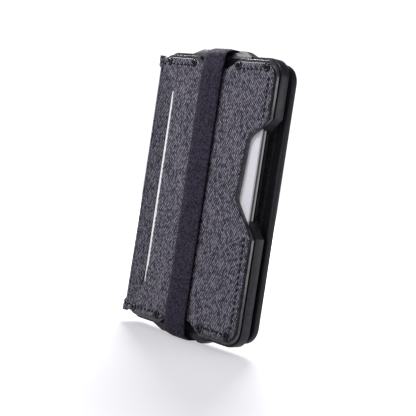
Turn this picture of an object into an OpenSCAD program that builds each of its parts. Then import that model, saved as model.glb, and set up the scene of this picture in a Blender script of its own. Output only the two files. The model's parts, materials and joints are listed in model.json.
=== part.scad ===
// Minimalist wallet: a screwed card chassis with a fabric-faced front plate,
// an elastic band round the chassis, and a soft leaf that folds round behind it.
// It stands on one short end. X is the width, Y the thickness (front towards -Y), Z is up.

/* [Chassis] */
// Width of the card frame
frame_w = 63.2; // [62:0.2:66]
// Height of the card frame without its horns
frame_h = 103.6; // [103:0.2:108]
// Corner radius of the card frame
frame_r = 6.5; // [4:0.5:9]
// Thickness of the card frame
frame_t = 3.9; // [3.7:0.1:4.6]
// Width of the front plate
plate_w = 63.2; // [62:0.2:66]
// Height of the front plate
plate_h = 101.4; // [101:0.2:103]
// Thickness of the front plate
plate_t = 1; // [0.8:0.1:1.4]
// Thickness of the spacer, which is the height of the card slot
spacer_t = 0.9; // [0.85:0.05:1.2]
// How far the horns rise above the band's seat
horn_rise = 0.8; // [0.4:0.1:1.5]

/* [Cards] */
// Long side of a standard card
card_long = 85.6; // [85.4:0.1:85.8]
// Short side of a standard card
card_short = 53.98; // [53.8:0.01:54.2]
// Thickness of a standard card
card_t = 0.76; // [0.7:0.01:0.8]
// Free space round a card, each side
card_gap = 0.3; // [0.2:0.05:0.5]

/* [Screws] */
// Sideways distance from the middle to the outer screws
screw_x_outer = 26.7; // [25.5:0.1:27]
// Sideways distance from the middle to the inner screws
screw_x_inner = 12.3; // [12.3:0.1:14]
// Distance from the middle up or down to a screw row
screw_z = 48; // [47.5:0.1:48]
// Diameter of a screw's head
head_d = 2.7; // [2.5:0.1:2.9]
// Diameter of a screw's shank
shank_d = 1.6; // [1.4:0.1:1.7]

/* [Fabric] */
// Thickness of one layer of fabric
fabric_t = 0.5; // [0.4:0.05:0.5]
// Height of the fabric on the front plate
fabric_h = 99.2; // [98:0.2:100.4]
// Place of the front pocket's open edge, from the middle
pocket_edge_x = -20.7; // [-22:0.1:-19]
// Width of the paper slip in the front pocket
slip_w = 42; // [36:0.5:42]
// Height of the paper slip in the front pocket
slip_h = 75; // [60:1:75]

/* [Band] */
// Width of the elastic band
band_w = 11.4; // [8:0.1:12]
// Thickness of the elastic band
band_t = 1.3; // [1:0.1:1.3]

/* [Leaf] */
// Clear gap between the chassis and the leaf
leaf_gap = 2.4; // [2.2:0.1:4]
// Thickness of the leaf
leaf_t = 2.5; // [2.5:0.1:3]
// Height of the leaf
leaf_h = 101.2; // [96:0.2:101.2]
// Corner radius of the leaf
leaf_r = 6.75; // [4:0.25:9]
// Distance from the chassis to the outside of the spine
spine_reach = 2.6; // [2.4:0.1:4]

/* [Hidden] */
$fn = 48;

// Depths of the stack, from the front plate's front face
frame_front = plate_t + spacer_t;
frame_back = frame_front + frame_t;
leaf_front = frame_back + leaf_gap;
leaf_back = leaf_front + leaf_t;
back_wall_t = 0.9;
play = 0.05;

// Front fabric
skin_t = 0.6;
slip_t = 0.3;
slip_front = -fabric_t - slip_t;
skin_front = slip_front - skin_t;
fabric_r = 5.5;
fabric_right = plate_w / 2 - 0.5;
slip_show = 1.8;
slip_left = pocket_edge_x - slip_show;
slip_right = slip_left + slip_w;
pocket_gap = 0.5;

// Band and horns
band_front = -2.9;
seat_w = 16.8;
seat_z = frame_h / 2 + 1.1;
horn_z = seat_z + horn_rise;
horn_tip_w = 22.8;
horn_foot_w = 32;
horn_front = 1;
horn_slope = 1.25;
horn_lip = 0.6;
horn_gap = 0.1;
band_top = seat_z + band_t;
band_back = frame_back + play + band_t;
band_ease = 3.5;
notch_mouth = 23.2;
notch_floor = 12.4;
notch_z = 46.8;

// Card room
room_w = card_short + 2 * card_gap;
room_h = card_long + 2 * card_gap;
card_y = [for (i = [0 : 2]) plate_t + play + i * (card_t + 0.1)];
stack_back = card_y[2] + card_t;
pad_back = frame_back - back_wall_t - play;
gasket_inset = 1.5;
card_r = 3.18;
pad_margin = 2;
pad_r = 3;

// Screws
cup_t = 0.35;
cup_d = 3.3;
head_t = 0.8;
hole_d = cup_d + 0.2;
insert_d = 3.2;
insert_len = 2.7;
socket_d = 1.25;

// Spine and leaf
side = frame_w / 2;
spine_out = -side - spine_reach;
spine_t = 0.7;
spine_lining_t = 0.4;
spine_start = 0.9;
spine_end = leaf_back - 1.4;
spine_h = 100;
hem_h = 4;
hem_t = 0.5;
leaf_right = side - 0.1;
binding_w = 2;
layer_gap = 0.05;
board_t = 0.6;
foil_t = 0.1;
lining_t = 0.3;
pocket_t = 0.3;
pocket_side = 5;
pocket_tops = [30, 14, -2];
lap_t = 0.6;
lap_h = 12;

// The model's middle in plan and its lowest point, which become the origin
mid_x = (side + spine_out - hem_t) / 2;
mid_y = (band_front + leaf_back) / 2;
foot_z = -band_top;

// Points of the thumb cut-out in the front, and of the window in the frame
cutout = [
  [side + 4, 34.5], [28.6, 27.2], [22.4, 23.3], [21, 0.6], [28.8, -8.8], [side + 4, -17.5]
];
cutout_r = [0, 1.5, 4, 3, 2, 0];
window = [
  [side + 1, 32], [side - 1.2, 29.6], [room_w / 2 - 1, 25], [room_w / 2 - 1, -4.6],
  [side - 1.6, -10], [side + 1, -13]
];
window_r = [0, 1.5, 1, 3, 3, 0];

function unit(v) = v / norm(v);
function cross_2d(a, b) = a.x * b.y - a.y * b.x;
function turned(v, angle) = [
  v.x * cos(angle) - v.y * sin(angle), v.x * sin(angle) + v.y * cos(angle)
];

// The arc that rounds corner p, between its neighbours a and b, to radius r
function corner_arc(a, p, b, r, steps = 8) =
  r == 0 ? [p] :
  let (
    u = unit(a - p),
    v = unit(b - p),
    half = acos(u * v) / 2,
    centre = p + unit(u + v) * r / sin(half),
    first = p + u * r / tan(half) - centre,
    last = p + v * r / tan(half) - centre,
    sweep = atan2(cross_2d(first, last), first * last)
  )
  [for (i = [0 : steps]) centre + turned(first, sweep * i / steps)];

function rounded(points, radii) = [
  for (i = [0 : len(points) - 1])
    each corner_arc(
      points[(i + len(points) - 1) % len(points)], points[i],
      points[(i + 1) % len(points)], radii[i]
    )
];

// Puts the chassis frame of reference at the row's origin
module place() {
  translate([-mid_x, -mid_y, -foot_z]) children();
}

// Turns a flat outline in X and Z into a slab between two depths
module slab(front, back) {
  translate([0, back, 0]) rotate([90, 0, 0]) linear_extrude(back - front) children();
}

module round_rect(left, right, bottom, top, r) {
  translate([left + r, bottom]) square([right - left - 2 * r, top - bottom]);
  translate([left, bottom + r]) square([right - left, top - bottom - 2 * r]);
  for (x = [left + r, right - r])
    for (z = [bottom + r, top - r])
      translate([x, z]) circle(r);
}

module centred_rect(w, h, r) {
  round_rect(-w / 2, w / 2, -h / 2, h / 2, r);
}

module both_ends() {
  children();
  mirror([0, 1]) children();
}

module band_notches(mouth_z) {
  both_ends()
    polygon([
      [-notch_mouth / 2 - 3, mouth_z + 3], [-notch_mouth / 2, mouth_z],
      [-notch_floor / 2, notch_z], [notch_floor / 2, notch_z],
      [notch_mouth / 2, mouth_z], [notch_mouth / 2 + 3, mouth_z + 3]
    ]);
}

module thumb_cutout() {
  polygon(rounded(cutout, cutout_r));
}

module at_screws() {
  for (x = [-screw_x_outer, -screw_x_inner, screw_x_inner, screw_x_outer])
    for (z = [-screw_z, screw_z])
      translate([x, 0, z]) children();
}

// A round bar along Y at the origin, between two depths
module bar(d, front, back) {
  translate([0, back, 0]) rotate([90, 0, 0]) cylinder(d = d, h = back - front);
}

module front_skin() {
  color([0.33, 0.32, 0.35]) place() difference() {
    slab(skin_front, -fabric_t) difference() {
      intersection() {
        centred_rect(2 * fabric_right, fabric_h, fabric_r);
        translate([pocket_edge_x, -fabric_h]) square([frame_w, 2 * fabric_h]);
      }
      band_notches(fabric_h / 2);
      thumb_cutout();
    }
    translate([pocket_edge_x - 1, slip_front - play, -slip_h / 2 - pocket_gap])
      cube([slip_right - pocket_edge_x + 1 + pocket_gap, 1, slip_h + 2 * pocket_gap]);
    at_screws() bar(hole_d, skin_front - 1, 0);
  }
}

module front_base_fabric() {
  color([0.27, 0.26, 0.29]) place() difference() {
    slab(-fabric_t, 0) difference() {
      union() {
        centred_rect(2 * fabric_right, fabric_h, fabric_r);
        translate([-side, -fabric_h / 2]) square([side, fabric_h]);
      }
      band_notches(fabric_h / 2);
      thumb_cutout();
    }
    at_screws() bar(hole_d, -1, 1);
  }
}

module pocket_slip() {
  color([0.95, 0.95, 0.95]) place()
    slab(slip_front, -fabric_t - play / 2)
      round_rect(slip_left, slip_right, -slip_h / 2, slip_h / 2, 2);
}

module front_plate() {
  color([0.09, 0.09, 0.10]) place() difference() {
    slab(0, plate_t) difference() {
      centred_rect(plate_w, plate_h, frame_r - 0.5);
      band_notches(plate_h / 2);
      thumb_cutout();
    }
    at_screws() bar(shank_d + 0.2, -1, plate_t + 1);
  }
}

module spacer_gasket() {
  color([0.05, 0.05, 0.05]) place() difference() {
    slab(plate_t, frame_front) difference() {
      centred_rect(plate_w - 2 * gasket_inset, plate_h - 2 * gasket_inset, frame_r - gasket_inset);
      translate([-room_w / 2, -room_h / 2]) square([frame_w, room_h]);
      both_ends()
        translate([-notch_mouth / 2, room_h / 2 + 1]) square([notch_mouth, frame_h]);
    }
    at_screws() bar(shank_d + 0.2, 0, frame_front + 1);
  }
}

module horn_outline() {
  polygon([
    [-horn_foot_w / 2, frame_h / 2 - 1], [-horn_foot_w / 2, frame_h / 2],
    [-horn_tip_w / 2, horn_z], [-seat_w / 2 - horn_lip, horn_z], [-seat_w / 2, seat_z],
    [seat_w / 2, seat_z], [seat_w / 2 + horn_lip, horn_z], [horn_tip_w / 2, horn_z],
    [horn_foot_w / 2, frame_h / 2], [horn_foot_w / 2, frame_h / 2 - 1]
  ]);
}

// Horns stand forward of the frame and slope back to their tips
module horns() {
  foot = plate_h / 2 + horn_gap;
  top = horn_z + horn_gap;
  intersection() {
    slab(0, frame_back) union() {
      horn_outline();
      translate([-horn_foot_w / 2, foot]) square([horn_foot_w, 1]);
    }
    rotate([90, 0, 90]) translate([0, 0, -frame_w / 2])
      linear_extrude(frame_w)
        polygon([
          [frame_back, foot - 1], [frame_front, foot - 1], [frame_front, foot],
          [horn_front, foot], [horn_front + horn_slope, top], [frame_back, top]
        ]);
  }
}

module chassis_frame() {
  color([0.13, 0.13, 0.14]) place() difference() {
    union() {
      slab(frame_front, frame_back) centred_rect(frame_w, frame_h, frame_r);
      horns();
      mirror([0, 0, 1]) horns();
    }
    translate([-room_w / 2, frame_front - 1, -room_h / 2])
      cube([room_w, frame_t - back_wall_t + 1, room_h]);
    slab(frame_front - 1, frame_back + 1) polygon(rounded(window, window_r));
    at_screws() bar(insert_d, 0, frame_front + insert_len);
  }
}

module pressure_pad() {
  color([0.16, 0.16, 0.17]) place()
    slab(stack_back + play, pad_back) difference() {
      centred_rect(card_short - 2 * pad_margin, card_long - 3 * pad_margin, pad_r);
      polygon(rounded(window, window_r));
    }
}

module one_card(front) {
  place() slab(front, front + card_t) centred_rect(card_short, card_long, card_r);
}

module card_front() {
  color([0.92, 0.91, 0.94]) one_card(card_y[0]);
}

module card_middle() {
  color([0.25, 0.25, 0.27]) one_card(card_y[1]);
}

module card_rear() {
  color([0.78, 0.75, 0.76]) one_card(card_y[2]);
}

// A button head's half outline, turned about the screw's axis
module screw_head() {
  crown = 0.45;
  rotate([90, 0, 0]) rotate_extrude()
    polygon([
      [0, 0], [head_d / 2, 0], [head_d / 2, crown],
      for (a = [15 : 15 : 75]) [
        head_d / 2 - 0.5 + 0.5 * cos(a), crown + (head_t - crown) * sin(a)
      ],
      [head_d / 2 - 0.5, head_t], [0, head_t]
    ]);
}

module front_screws() {
  color([0.05, 0.05, 0.06]) place() at_screws() difference() {
    union() {
      translate([0, -cup_t, 0]) screw_head();
      bar(shank_d, -cup_t - 0.1, frame_front + insert_len - 0.2);
    }
    translate([0, -cup_t - 0.2, 0]) rotate([90, 0, 0])
      cylinder(d = socket_d, h = head_t, $fn = 6);
  }
}

module screw_cups() {
  color([0.03, 0.03, 0.03]) place() at_screws() difference() {
    bar(cup_d, -cup_t, 0);
    bar(shank_d + 0.2, -1, 1);
  }
}

module thread_inserts() {
  color([0.72, 0.58, 0.30]) place() at_screws() difference() {
    bar(insert_d, frame_front, frame_front + insert_len);
    bar(shank_d + 0.1, 0, frame_back);
  }
}

// Outline of the band's run in Y and Z, grown by a thickness
module band_run(grow) {
  front = band_front + band_t - grow;
  back = frame_back + play + grow;
  top = seat_z + grow;
  ease = band_ease + grow * 0.4;
  shoulder = notch_z - 1;
  lean_y = front + 0.44 + grow * 0.8;
  lean_z = top - ease * 0.35;
  back_r = 0.6 + grow;
  polygon(rounded(
    [
      [front, -shoulder], [lean_y, -lean_z], [front + ease, -top], [back, -top],
      [back, top], [front + ease, top], [lean_y, lean_z], [front, shoulder]
    ],
    [3, 2, 1.5, back_r, back_r, 1.5, 2, 3]
  ));
}

module elastic_band() {
  color([0.12, 0.12, 0.15]) place()
    rotate([90, 0, 90]) translate([0, 0, -band_w / 2]) linear_extrude(band_w) difference() {
      band_run(band_t);
      band_run(0);
    }
}

// The two ends of the band overlap at the back and are sewn there
module band_seam() {
  color([0.10, 0.10, 0.12]) place()
    translate([-band_w / 2, band_back, -lap_h / 2]) cube([band_w, lap_t, lap_h]);
}

module spine_fabric() {
  color([0.27, 0.26, 0.29]) place()
    translate([spine_out, spine_start, -spine_h / 2])
      cube([spine_t, spine_end - spine_start, spine_h]);
}

module spine_lining() {
  color([0.12, 0.12, 0.13]) place()
    translate([spine_out + spine_t, spine_start, -spine_h / 2 + 1])
      cube([spine_lining_t, spine_end - spine_start, spine_h - 2]);
}

module spine_hem() {
  translate([spine_out - hem_t, spine_start, spine_h / 2 - hem_h])
    cube([hem_t, spine_end - spine_start, hem_h]);
}

module spine_hem_top() {
  color([0.22, 0.22, 0.24]) place() spine_hem();
}

module spine_hem_bottom() {
  color([0.22, 0.22, 0.24]) place() mirror([0, 0, 1]) spine_hem();
}

// The leaf's outline, drawn in from its edge, with square corners at the spine
module leaf_outline(inset) {
  half = leaf_h / 2 - inset;
  r = leaf_r - inset;
  round_rect(-side + inset, leaf_right - inset, -half, half, r);
  translate([-side, -half]) square([side, 2 * half]);
}

module leaf_layer(front, back) {
  slab(front, back) leaf_outline(binding_w + layer_gap);
}

module leaf_binding() {
  color([0.10, 0.10, 0.11]) place() slab(leaf_front, leaf_back) difference() {
    leaf_outline(0);
    leaf_outline(binding_w);
  }
}

module leaf_fabric() {
  color([0.27, 0.26, 0.29]) place() leaf_layer(leaf_back - fabric_t, leaf_back);
}

module leaf_board() {
  back = leaf_back - fabric_t;
  color([0.30, 0.24, 0.17]) place() leaf_layer(back - board_t, back);
}

module rfid_foil() {
  back = leaf_back - fabric_t - board_t;
  color([0.75, 0.76, 0.78]) place() leaf_layer(back - foil_t, back);
}

module leaf_lining() {
  back = leaf_back - fabric_t - board_t - foil_t;
  color([0.14, 0.14, 0.15]) place() leaf_layer(back - lining_t, back);
}

// One stepped card pocket; level 0 lies on the lining and reaches highest
module leaf_pocket(level) {
  back = leaf_back - fabric_t - board_t - foil_t - lining_t - level * pocket_t;
  bottom = -leaf_h / 2 + binding_w + layer_gap + 0.5;
  place() slab(back - pocket_t, back)
    round_rect(-side + pocket_side, leaf_right - pocket_side, bottom, pocket_tops[level], 2);
}

module leaf_pocket_high() {
  color([0.24, 0.24, 0.26]) leaf_pocket(0);
}

module leaf_pocket_mid() {
  color([0.22, 0.22, 0.24]) leaf_pocket(1);
}

module leaf_pocket_low() {
  color([0.20, 0.20, 0.22]) leaf_pocket(2);
}

front_skin();
front_base_fabric();
pocket_slip();
front_plate();
spacer_gasket();
chassis_frame();
pressure_pad();
card_front();
card_middle();
card_rear();
front_screws();
screw_cups();
thread_inserts();
elastic_band();
band_seam();
spine_fabric();
spine_lining();
spine_hem_top();
spine_hem_bottom();
leaf_fabric();
leaf_board();
rfid_foil();
leaf_lining();
leaf_binding();
leaf_pocket_low();
leaf_pocket_mid();
leaf_pocket_high();
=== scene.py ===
import json
import math

import bmesh
import bpy
from mathutils import Matrix, Vector, noise
from mathutils.geometry import delaunay_2d_cdt
from mathutils.kdtree import KDTree

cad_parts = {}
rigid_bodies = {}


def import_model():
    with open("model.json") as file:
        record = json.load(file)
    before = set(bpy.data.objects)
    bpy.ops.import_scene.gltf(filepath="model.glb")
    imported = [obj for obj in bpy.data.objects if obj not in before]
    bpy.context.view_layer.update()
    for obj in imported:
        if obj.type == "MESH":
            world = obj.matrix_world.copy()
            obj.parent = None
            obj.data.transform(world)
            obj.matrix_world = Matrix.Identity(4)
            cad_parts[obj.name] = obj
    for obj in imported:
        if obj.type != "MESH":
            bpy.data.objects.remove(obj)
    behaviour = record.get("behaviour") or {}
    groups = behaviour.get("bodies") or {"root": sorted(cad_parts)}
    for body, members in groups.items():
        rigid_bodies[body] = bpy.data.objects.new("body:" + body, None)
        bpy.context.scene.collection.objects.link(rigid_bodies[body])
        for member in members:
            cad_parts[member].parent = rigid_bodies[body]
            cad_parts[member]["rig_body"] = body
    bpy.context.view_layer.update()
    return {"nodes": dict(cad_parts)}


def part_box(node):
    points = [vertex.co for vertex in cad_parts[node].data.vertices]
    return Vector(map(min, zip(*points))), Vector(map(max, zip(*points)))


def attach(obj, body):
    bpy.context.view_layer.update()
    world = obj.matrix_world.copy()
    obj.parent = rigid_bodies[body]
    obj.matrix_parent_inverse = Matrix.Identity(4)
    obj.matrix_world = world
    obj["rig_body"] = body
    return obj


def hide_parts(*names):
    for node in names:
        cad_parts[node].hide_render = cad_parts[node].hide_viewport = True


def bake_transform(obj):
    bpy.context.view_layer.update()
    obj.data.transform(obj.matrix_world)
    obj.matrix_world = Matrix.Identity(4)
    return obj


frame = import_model()
print("frame loaded")

mm = 0.001

# Places on the wallet are given in millimetres from the middle of the chassis:
# x across, y back from the front plate's face, z up
frameLow, frameHigh = (Vector(c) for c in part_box("chassis_frame"))
midX = (frameLow.x + frameHigh.x) / 2
midZ = (frameLow.z + frameHigh.z) / 2
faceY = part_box("front_plate")[0][1]


def at(x, y, z):
    return Vector((midX + x * mm, faceY + y * mm, midZ + z * mm))


# A node's low and high corners in the same millimetres
def span(node):
    low, high = (Vector(c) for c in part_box(node))
    origin = Vector((midX, faceY, midZ))
    return (low - origin) / mm, (high - origin) / mm


# ---- outlines and meshes ----

def smooth(low, high, value):
    t = min(max((value - low) / (high - low), 0), 1)
    return t * t * (3 - 2 * t)


def cornerArc(before, corner, after, radius, steps=8):
    if radius == 0:
        return [corner]
    p = Vector(corner)
    u, v = (Vector(before) - p).normalized(), (Vector(after) - p).normalized()
    half = u.angle(v) / 2
    centre = p + (u + v).normalized() * radius / math.sin(half)
    first = p + u * radius / math.tan(half) - centre
    last = p + v * radius / math.tan(half) - centre
    sweep = math.atan2(first.x * last.y - first.y * last.x, first.dot(last))
    points = []
    for i in range(steps + 1):
        turn = Matrix.Rotation(sweep * i / steps, 2)
        points.append(tuple(centre + turn @ first))
    return points


def rounded(corners):
    points = []
    for i, (x, z, radius) in enumerate(corners):
        before, after = corners[i - 1], corners[(i + 1) % len(corners)]
        points += cornerArc(before[:2], (x, z), after[:2], radius)
    return points


def rectangle(left, low, right, high, radius):
    corners = ((left, low), (left, high), (right, high), (right, low))
    return rounded([(x, z, radius) for x, z in corners])


# Cloth that lies flat keeps its own x and z as its place in the weave
def flatUv(x, z):
    return x, z


def resampled(points, step):
    out = []
    for i, p in enumerate(points):
        a, b = Vector(p), Vector(points[(i + 1) % len(points)])
        count = max(1, round((b - a).length / step))
        out += [tuple(a.lerp(b, k / count)) for k in range(count)]
    return out


def circle(x, z, radius, count=20):
    turns = [2 * math.pi * i / count for i in range(count)]
    return [(x + radius * math.cos(t), z + radius * math.sin(t)) for t in turns]


def inside(point, outline):
    x, z = point
    found = False
    for (ax, az), (bx, bz) in zip(outline, outline[1:] + outline[:1]):
        if (az > z) != (bz > z) and x < (bx - ax) * (z - az) / (bz - az) + ax:
            found = not found
    return found


def newPiece(name, verts, faces, uvs=None):
    mesh = bpy.data.meshes.new(name)
    mesh.from_pydata(verts, [], faces)
    if uvs:
        layer = mesh.uv_layers.new(name="clothUv")
        for loop in mesh.loops:
            layer.data[loop.index].uv = uvs[loop.vertex_index]
    mesh.validate()
    piece = bpy.data.objects.new(name, mesh)
    bpy.context.scene.collection.objects.link(piece)
    return piece


# Normals turned outwards, once loose points are gone and points nearer than merge are joined
def outwards(piece, merge=0):
    bm = bmesh.new()
    bm.from_mesh(piece.data)
    bmesh.ops.delete(bm, geom=[v for v in bm.verts if not v.link_faces], context="VERTS")
    if merge:
        bmesh.ops.remove_doubles(bm, verts=bm.verts, dist=merge * mm)
    bmesh.ops.recalc_face_normals(bm, faces=bm.faces)
    bm.to_mesh(piece.data)
    bm.free()


# A finished piece takes its body and the place of the nodes it replaces
def assigned(piece, slotName, body, *nodes):
    if nodes:
        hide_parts(*nodes)
    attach(piece, body)


def softEdges(piece, width, segments, angle):
    bevel = piece.modifiers.new("softEdges", "BEVEL")
    bevel.width = width * mm
    bevel.segments = segments
    bevel.limit_method = "ANGLE"
    bevel.angle_limit = math.radians(angle)
    for face in piece.data.polygons:
        face.use_smooth = True


# A ring turned to run anticlockwise, or clockwise for a hole
def wound(ring, clockwise):
    area = sum(a[0] * b[1] - b[0] * a[1] for a, b in zip(ring, ring[1:] + ring[:1]))
    return ring if (area < 0) == clockwise else ring[::-1]


# The ring moved to its left, which is into the cloth
def drawnIn(ring, distance):
    out = []
    for i, p in enumerate(ring):
        before, here, after = Vector(ring[i - 1]), Vector(p), Vector(ring[(i + 1) % len(ring)])
        a, b = (here - before).normalized(), (after - here).normalized()
        side = Vector((-a.y - b.y, a.x + b.x))
        if side.length < 0.3:
            side = Vector((-a.y, a.x))
        side = side.normalized()
        stretch = min(1 / max(side.dot(Vector((-a.y, a.x))), 0.5), 1.5)
        out.append(tuple(here + side * distance * stretch))
    return out


# A panel of cloth or card: an outline with holes, filled with small triangles, whose
# two faces follow functions of x and z. Its outer edges are rolled over to a radius
def panel(name, outline, holes, step, outerAt, innerAt, uvAt, roll, painted=False):
    outline = wound(resampled(outline, step), False)
    holes = [wound(hole, True) for hole in holes]
    points, edges, rolled = [], [], []
    for ring in [outline] + holes:
        for share, fall in ((0, 1.0), (0.3, 0.286), (1.0, 0.0)):
            start = len(points)
            points += drawnIn(ring, share * roll)
            rolled += [fall * roll] * len(ring)
            edges += [(start + i, start + (i + 1) % len(ring)) for i in range(len(ring))]
    tree = KDTree(len(points))
    for i, (x, z) in enumerate(points):
        tree.insert((x, z, 0), i)
    tree.balance()
    xs, zs = [p[0] for p in outline], [p[1] for p in outline]
    z, odd = min(zs), 0
    while z < max(zs):
        x = min(xs) + odd * step / 2
        while x < max(xs):
            if tree.find((x, z, 0))[2] > 0.55 * step and inside((x, z), outline):
                points.append((x, z))
            x += step
        z += step * 0.87
        odd = 1 - odd
    rolled += [0.0] * (len(points) - len(rolled))
    made = delaunay_2d_cdt([Vector(p) for p in points], edges, [], 0, 1e-5)
    flat, tris = [tuple(p) for p in made[0]], made[2]
    falls = [rolled[source[0]] if source else 0.0 for source in made[3]]
    kept = []
    for tri in tris:
        centre = (sum(flat[i][0] for i in tri) / 3, sum(flat[i][1] for i in tri) / 3)
        if inside(centre, outline) and not any(inside(centre, h) for h in holes):
            kept.append(tri)
    count = len(flat)
    verts = []
    for (x, z), fall in zip(flat, falls):
        outer, inner = outerAt(x, z), innerAt(x, z)
        verts.append(at(x, outer + math.copysign(fall, inner - outer), z))
    verts += [at(x, innerAt(x, z), z) for x, z in flat]
    faces = [tuple(tri) for tri in kept]
    faces += [tuple(count + i for i in reversed(tri)) for tri in kept]
    onEdge = [max(falls[i] for i in tri) > 0.9 * roll for tri in kept] + [False] * len(kept)
    used = {(a, b) for tri in kept for a, b in zip(tri, tri[1:] + tri[:1])}
    for a, b in sorted(used):
        if (b, a) not in used:
            faces.append((b, a, count + a, count + b))
            onEdge.append(True)
    uvs = [Vector(uvAt(x, z)) * mm for x, z in flat]
    piece = newPiece(name, verts, faces, uvs + uvs)
    outwards(piece)
    for face in piece.data.polygons:
        face.use_smooth = abs(face.normal.y) > 0.15
        # Side walls and the outermost roll take the second, darker material: edge paint and painted
        # shade
        if painted and onEdge[face.index]:
            face.material_index = 1
    return piece


def applied(piece):
    graph = bpy.context.evaluated_depsgraph_get()
    mesh = bpy.data.meshes.new_from_object(piece.evaluated_get(graph), depsgraph=graph)
    piece.modifiers.clear()
    piece.data = mesh
    return piece


# A copy of a CAD node with its triangles joined into faces and its edges softened
def finishedCopy(node, name, width, segments):
    piece = frame["nodes"][node].copy()
    piece.data = piece.data.copy()
    piece.name = piece.data.name = name
    piece.parent = None
    for key in list(piece.keys()):
        del piece[key]
    bpy.context.scene.collection.objects.link(piece)
    bm = bmesh.new()
    bm.from_mesh(piece.data)
    bmesh.ops.remove_doubles(bm, verts=bm.verts, dist=0.004 * mm)
    bmesh.ops.dissolve_degenerate(bm, edges=bm.edges, dist=0.003 * mm)
    bmesh.ops.dissolve_limit(
        bm, angle_limit=math.radians(1), verts=bm.verts, edges=bm.edges
    )
    bm.to_mesh(piece.data)
    bm.free()
    softEdges(piece, width, segments, 30)
    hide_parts(node)
    return piece


# ---- shader helpers ----

class Tree:
    def __init__(self, tree):
        self.tree = tree

    def node(self, kind, **settings):
        made = self.tree.nodes.new(kind)
        for key, value in settings.items():
            setattr(made, key, value)
        return made

    def link(self, source, target):
        self.tree.links.new(source, target)

    def feed(self, value, socket):
        if isinstance(value, bpy.types.NodeSocket):
            self.link(value, socket)
        else:
            socket.default_value = value

    def math(self, operation, a, b=0.0, c=0.0):
        made = self.node("ShaderNodeMath", operation=operation)
        for value, socket in zip((a, b, c), made.inputs):
            self.feed(value, socket)
        return made.outputs[0]

    def pick(self, factor, a, b):
        made = self.node("ShaderNodeMix", data_type="FLOAT")
        for value, index in ((factor, 0), (a, 2), (b, 3)):
            self.feed(value, made.inputs[index])
        return made.outputs[0]

    def mix(self, factor, a, b):
        made = self.node("ShaderNodeMix", data_type="RGBA")
        self.feed(factor, made.inputs[0])
        self.feed(a, made.inputs[6])
        self.feed(b, made.inputs[7])
        return made.outputs[2]

    def range(self, value, low, high, toLow=0.0, toHigh=1.0):
        made = self.node("ShaderNodeMapRange")
        for item, socket in zip((value, low, high, toLow, toHigh), made.inputs):
            self.feed(item, socket)
        return made.outputs[0]

    def noise(self, vector, scale, detail=2.0, rough=0.5):
        made = self.node("ShaderNodeTexNoise")
        self.link(vector, made.inputs["Vector"])
        self.feed(scale, made.inputs["Scale"])
        made.inputs["Detail"].default_value = detail
        made.inputs["Roughness"].default_value = rough
        return made.outputs[0]

    def white(self, x, y):
        joined = self.node("ShaderNodeCombineXYZ")
        self.feed(x, joined.inputs[0])
        self.feed(y, joined.inputs[1])
        made = self.node("ShaderNodeTexWhiteNoise", noise_dimensions="2D")
        self.link(joined.outputs[0], made.inputs["Vector"])
        return made.outputs[0]

    def bump(self, height, strength, distance, normal=None):
        made = self.node("ShaderNodeBump")
        made.inputs["Strength"].default_value = strength
        made.inputs["Distance"].default_value = distance
        self.link(height, made.inputs["Height"])
        if normal:
            self.link(normal, made.inputs["Normal"])
        return made.outputs[0]


def newGroup(name, inputs, outputs, treeKind="ShaderNodeTree"):
    tree = bpy.data.node_groups.new(name, treeKind)
    for label, kind, value in inputs:
        socket = tree.interface.new_socket(label, in_out="INPUT", socket_type=kind)
        if value is not None:
            socket.default_value = value
    for label, kind in outputs:
        tree.interface.new_socket(label, in_out="OUTPUT", socket_type=kind)
    t = Tree(tree)
    return t, t.node("NodeGroupInput").outputs, t.node("NodeGroupOutput").inputs


twill = {"wanderScale": 260.0, "wander": 0.9, "weftHeight": 0.55}


# Twill: warp and weft threads in steps that climb one thread at a time.
# Yarn gives each stretch of thread its own lightness, as in a heather cloth; the rest of the Shade is
# painted shade, darker in the hollows between raised threads
def makeTwillGroup():
    t, given, out = newGroup(
        "twillWeave",
        [("Vector", "NodeSocketVector", None), ("Pitch", "NodeSocketFloat", 0.0003),
         ("Float", "NodeSocketFloat", 3.0), ("Yarn", "NodeSocketFloat", 0.5),
         ("Weft", "NodeSocketFloat", 0.3)],
        [("Height", "NodeSocketFloat"), ("Shade", "NodeSocketFloat")],
    )
    parts = t.node("ShaderNodeSeparateXYZ")
    t.link(given["Vector"], parts.inputs[0])
    wander = t.math("MULTIPLY", t.noise(given["Vector"], twill["wanderScale"]), twill["wander"])
    u = t.math("ADD", t.math("DIVIDE", parts.outputs[0], given["Pitch"]), wander)
    v = t.math("ADD", t.math("DIVIDE", parts.outputs[1], given["Pitch"]), wander)
    column, row = t.math("FLOOR", u), t.math("FLOOR", v)
    place = t.math("FLOORED_MODULO", t.math("ADD", column, row), given["Float"])
    warpOnTop = t.math("GREATER_THAN", place, 0.5)
    acrossWarp = t.math("SINE", t.math("MULTIPLY", t.math("FRACT", u), math.pi))
    acrossWeft = t.math("SINE", t.math("MULTIPLY", t.math("FRACT", v), math.pi))
    weftHeight = t.math("MULTIPLY", acrossWeft, twill["weftHeight"])
    lift = t.pick(warpOnTop, weftHeight, acrossWarp)
    t.link(lift, out["Height"])
    rib = t.math("FLOOR", t.math("DIVIDE", t.math("ADD", column, row), given["Float"]))
    warpYarn = t.white(column, rib)
    weftYarn = t.math("MULTIPLY", t.white(t.math("ADD", column, 37.0), row), given["Weft"])
    shade = t.math("MULTIPLY", t.pick(warpOnTop, weftYarn, warpYarn), given["Yarn"])
    # Painted shade: the colour darkens where the threads sink
    paintedHollowShade = t.math("MULTIPLY", lift, t.math("SUBTRACT", 1.0, given["Yarn"]))
    t.link(t.math("ADD", shade, paintedHollowShade), out["Shade"])
    return t.tree


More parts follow.
